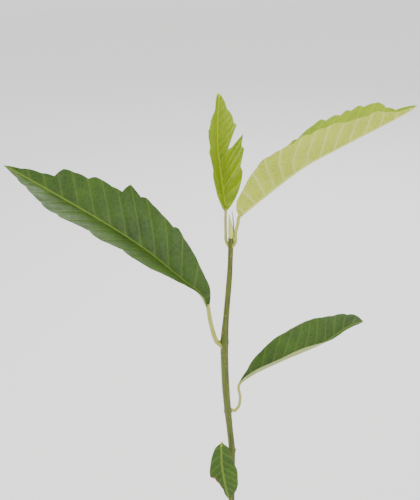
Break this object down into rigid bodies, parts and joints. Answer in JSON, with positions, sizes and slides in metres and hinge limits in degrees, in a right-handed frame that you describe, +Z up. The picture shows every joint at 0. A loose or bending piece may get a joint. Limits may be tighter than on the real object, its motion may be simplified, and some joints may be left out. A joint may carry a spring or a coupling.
{
  "type": "potted breadnut seedling",
  "caption": "Young potted fruit tree: one green stem with toothed leaves and a pointed bud, standing in soil in a plain round clay pot.",
  "frame": {"origin": "centre of the pot's flat underside", "axes": "+Z up along the stem, -Y towards the viewer of the picture, +X to the viewer's right"},
  "size_m": [0.2802, 0.15, 0.6055],
  "materials": {
    "clay": "matt unglazed",
    "soil": "rough, crumbly",
    "stem_skin": "smooth green skin",
    "mature_leaf": "glossy above, paler below",
    "young_leaf": "satin, translucent",
    "bud_skin": "satin",
    "dry_sheath": "matt, dry"
  },
  "bodies": {
    "root": {"pot": "clay", "soil": "soil", "stem": "stem_skin", "petiole_left": "stem_skin", "leaf_left": "mature_leaf", "petiole_right": "stem_skin", "leaf_right": "young_leaf", "petiole_upright": "stem_skin", "leaf_upright": "young_leaf", "petiole_lower_right": "stem_skin", "leaf_lower_right": "mature_leaf", "petiole_front": "stem_skin", "leaf_front": "mature_leaf", "bud": "bud_skin", "dry_sheath": "dry_sheath"}
  },
  "joints": []
}
